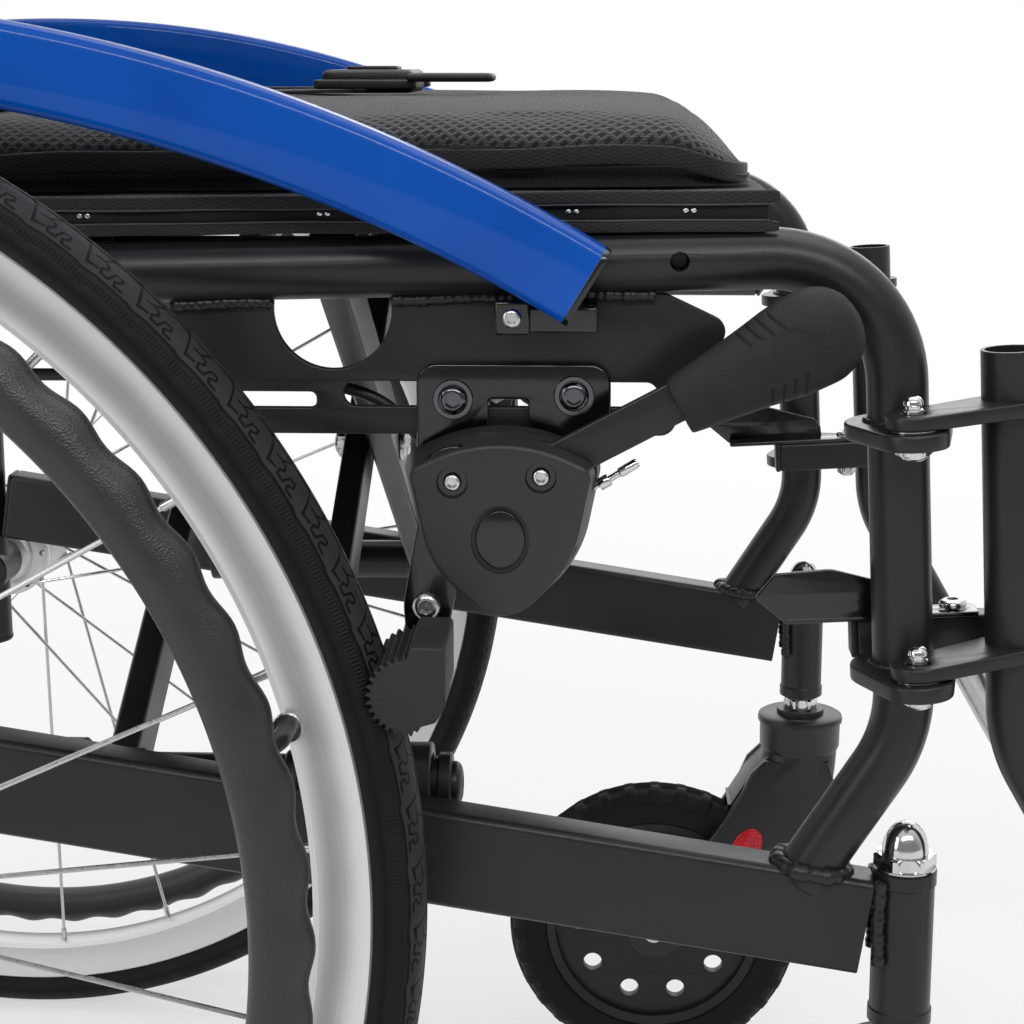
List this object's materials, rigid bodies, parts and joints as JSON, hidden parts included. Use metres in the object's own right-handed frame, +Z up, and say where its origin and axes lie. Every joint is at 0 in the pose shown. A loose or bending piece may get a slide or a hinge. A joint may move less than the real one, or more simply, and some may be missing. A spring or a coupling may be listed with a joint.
{
  "type": "folding wheelchair",
  "caption": "Light folding wheelchair with large spoked wheels, swivelling front wheels, cross brace, swing-away leg rests and hand brakes.",
  "frame": {"origin": "middle of the footprint on the floor, half-way along and across the chair", "axes": "+X to the chair's front, +Y to its left side, +Z up"},
  "size_m": [1.05, 0.6802, 0.9315],
  "materials": {
    "black_frame": "satin powder coat",
    "blue_arch": "gloss paint",
    "tyre_rubber": "matt",
    "rim_metal": "brushed",
    "grip_rubber": "matt",
    "bright_steel": "polished",
    "black_plastic": "fine grain",
    "upholstery": "woven"
  },
  "bodies": {
    "right_frame": {"side_frame_tube_right": "black_frame", "lower_rail_right": "black_frame", "back_cane_right": "black_frame", "side_plate_right": "black_frame", "arch_tube_right": "blue_arch", "axle_right": "bright_steel", "brake_bracket_right": "black_frame", "brake_housing_right": "black_plastic", "push_grip_right": "grip_rubber", "brake_cable_right": "black_plastic", "backrest": "upholstery"},
    "left_frame": {"side_frame_tube_left": "black_frame", "lower_rail_left": "black_frame", "back_cane_left": "black_frame", "side_plate_left": "black_frame", "arch_tube_left": "blue_arch", "axle_left": "bright_steel", "brake_bracket_left": "black_frame", "brake_housing_left": "black_plastic", "push_grip_left": "grip_rubber", "brake_cable_left": "black_plastic"},
    "brace_a": {"brace_a": "black_frame"},
    "brace_b": {"brace_b": "black_frame"},
    "seat": {"seat_sling": "upholstery", "seat_cushion": "upholstery", "lap_belt": "black_plastic"},
    "main_wheel_right": {"tyre_right": "tyre_rubber", "wheel_right": "rim_metal", "handrim_right": "grip_rubber"},
    "axle_button_right": {"axle_button_right": "bright_steel"},
    "caster_fork_right": {"caster_fork_right": "black_plastic"},
    "caster_wheel_right": {"caster_wheel_right": "tyre_rubber"},
    "brake_lever_right": {"brake_lever_right": "black_frame", "brake_grip_right": "grip_rubber"},
    "brake_arm_right": {"brake_shoe_arm_right": "black_frame", "brake_shoe_right": "grip_rubber"},
    "hanger_right": {"hanger_right": "black_frame", "footrest_tube_right": "bright_steel"},
    "hanger_lock_right": {"hanger_lock_right": "black_frame"},
    "footplate_right": {"footplate_right": "black_plastic"},
    "armrest_right": {"armrest_right": "black_frame", "arm_pad_right": "grip_rubber"},
    "attendant_lever_right": {"attendant_lever_right": "black_plastic"},
    "main_wheel_left": {"tyre_left": "tyre_rubber", "wheel_left": "rim_metal", "handrim_left": "grip_rubber"},
    "axle_button_left": {"axle_button_left": "bright_steel"},
    "caster_fork_left": {"caster_fork_left": "black_plastic"},
    "caster_wheel_left": {"caster_wheel_left": "tyre_rubber"},
    "brake_lever_left": {"brake_lever_left": "black_frame", "brake_grip_left": "grip_rubber"},
    "brake_arm_left": {"brake_shoe_arm_left": "black_frame", "brake_shoe_left": "grip_rubber"},
    "hanger_left": {"hanger_left": "black_frame", "footrest_tube_left": "bright_steel"},
    "hanger_lock_left": {"hanger_lock_left": "black_frame"},
    "footplate_left": {"footplate_left": "black_plastic"},
    "armrest_left": {"armrest_left": "black_frame", "arm_pad_left": "grip_rubber"},
    "attendant_lever_left": {"attendant_lever_left": "black_plastic"}
  },
  "joints": [
    {"name": "fold", "type": "hinge", "parent": "right_frame", "child": "brace_a", "pos_m": [0.004, -0.198, 0.3186], "axis": [1, 0, 0], "range_deg": [0, 55], "deforming": ["backrest"]},
    {"name": "brace_cross", "type": "hinge", "parent": "brace_a", "child": "brace_b", "pos_m": [0.004, 0, 0.42255], "axis": [1, 0, 0], "range_deg": [-110, 0]},
    {"name": "left_frame_hinge", "type": "hinge", "parent": "brace_b", "child": "left_frame", "pos_m": [0.004, 0.198, 0.3186], "axis": [1, 0, 0], "range_deg": [0, 55]},
    {"name": "seat_rise", "type": "slide", "parent": "right_frame", "child": "seat", "axis": [0, 0, 1], "range_m": [0, 0.24], "deforming": ["seat_sling", "seat_cushion", "lap_belt"]},
    {"name": "wheel_spin_right", "type": "hinge", "parent": "right_frame", "child": "main_wheel_right", "pos_m": [-0.22, -0.2885, 0.305], "axis": [0, 1, 0], "continuous": true},
    {"name": "axle_release_right", "type": "slide", "parent": "right_frame", "child": "axle_button_right", "axis": [0, 1, 0], "range_m": [0, 0.0025], "stiffness_N_per_m": 400, "springref_m": -0.002},
    {"name": "caster_swivel_right", "type": "hinge", "parent": "right_frame", "child": "caster_fork_right", "pos_m": [0.266, -0.2235, 0.2235], "axis": [0, 0, 1], "continuous": true},
    {"name": "caster_spin_right", "type": "hinge", "parent": "caster_fork_right", "child": "caster_wheel_right", "pos_m": [0.18, -0.2235, 0.0875], "axis": [0, 1, 0], "continuous": true},
    {"name": "brake_lever_right", "type": "hinge", "parent": "right_frame", "child": "brake_lever_right", "pos_m": [0.125, -0.249, 0.4565], "axis": [0, -1, 0], "range_deg": [0, 31]},
    {"name": "brake_arm_right", "type": "hinge", "parent": "right_frame", "child": "brake_arm_right", "pos_m": [0.0934, -0.2555, 0.4557], "axis": [0, -1, 0], "range_deg": [0, 12.01]},
    {"name": "hanger_swing_right", "type": "hinge", "parent": "right_frame", "child": "hanger_right", "pos_m": [0.2595, -0.2485, 0.47], "axis": [0.0558, 0, -0.9984], "range_deg": [0, 90]},
    {"name": "hanger_lock_right", "type": "hinge", "parent": "hanger_right", "child": "hanger_lock_right", "pos_m": [0.28487, -0.1955, 0.3924], "axis": [0.0558, 0, -0.9984], "range_deg": [0, 15], "stiffness_Nm_per_rad": 0.3, "springref_deg": -5.73},
    {"name": "footplate_flip_right", "type": "hinge", "parent": "hanger_right", "child": "footplate_right", "pos_m": [0.445, -0.2235, 0.2], "axis": [1, 0, 0], "range_deg": [-90, 0]},
    {"name": "armrest_swing_right", "type": "hinge", "parent": "right_frame", "child": "armrest_right", "pos_m": [-0.2422, -0.2525, 0.74], "axis": [0, -1, 0], "range_deg": [0, 100]},
    {"name": "attendant_lever_right", "type": "hinge", "parent": "right_frame", "child": "attendant_lever_right", "pos_m": [-0.304, -0.2235, 0.889], "axis": [0, 1, 0], "range_deg": [0, 10], "stiffness_Nm_per_rad": 1, "springref_deg": -5.73},
    {"name": "wheel_spin_left", "type": "hinge", "parent": "left_frame", "child": "main_wheel_left", "pos_m": [-0.22, 0.2885, 0.305], "axis": [0, 1, 0], "continuous": true},
    {"name": "axle_release_left", "type": "slide", "parent": "left_frame", "child": "axle_button_left", "axis": [0, -1, 0], "range_m": [0, 0.0025], "stiffness_N_per_m": 400, "springref_m": -0.002},
    {"name": "caster_swivel_left", "type": "hinge", "parent": "left_frame", "child": "caster_fork_left", "pos_m": [0.266, 0.2235, 0.2235], "axis": [0, 0, 1], "continuous": true},
    {"name": "caster_spin_left", "type": "hinge", "parent": "caster_fork_left", "child": "caster_wheel_left", "pos_m": [0.18, 0.2235, 0.0875], "axis": [0, 1, 0], "continuous": true},
    {"name": "brake_lever_left", "type": "hinge", "parent": "left_frame", "child": "brake_lever_left", "pos_m": [0.125, 0.249, 0.4565], "axis": [0, -1, 0], "range_deg": [0, 31]},
    {"name": "brake_arm_left", "type": "hinge", "parent": "left_frame", "child": "brake_arm_left", "pos_m": [0.0934, 0.2555, 0.4557], "axis": [0, -1, 0], "range_deg": [0, 12.01]},
    {"name": "hanger_swing_left", "type": "hinge", "parent": "left_frame", "child": "hanger_left", "pos_m": [0.2595, 0.2485, 0.47], "axis": [-0.0558, 0, 0.9984], "range_deg": [0, 90]},
    {"name": "hanger_lock_left", "type": "hinge", "parent": "hanger_left", "child": "hanger_lock_left", "pos_m": [0.28487, 0.1955, 0.3924], "axis": [-0.0558, 0, 0.9984], "range_deg": [0, 15], "stiffness_Nm_per_rad": 0.3, "springref_deg": -5.73},
    {"name": "footplate_flip_left", "type": "hinge", "parent": "hanger_left", "child": "footplate_left", "pos_m": [0.445, 0.2235, 0.2], "axis": [-1, 0, 0], "range_deg": [-90, 0]},
    {"name": "armrest_swing_left", "type": "hinge", "parent": "left_frame", "child": "armrest_left", "pos_m": [-0.2422, 0.2525, 0.74], "axis": [0, -1, 0], "range_deg": [0, 100]},
    {"name": "attendant_lever_left", "type": "hinge", "parent": "left_frame", "child": "attendant_lever_left", "pos_m": [-0.304, 0.2235, 0.889], "axis": [0, 1, 0], "range_deg": [0, 10], "stiffness_Nm_per_rad": 1, "springref_deg": -5.73}
  ],
  "couplings": [
    {"joint": "brace_cross", "follows": "fold", "ratio": -2},
    {"joint": "left_frame_hinge", "follows": "fold", "ratio": 1},
    {"joint": "seat_rise", "follows": "fold", "m_per_rad": 0.2456},
    {"joint": "brake_arm_right", "follows": "brake_lever_right", "ratio": 0.3871},
    {"joint": "brake_arm_left", "follows": "brake_lever_left", "ratio": 0.3871}
  ]
}
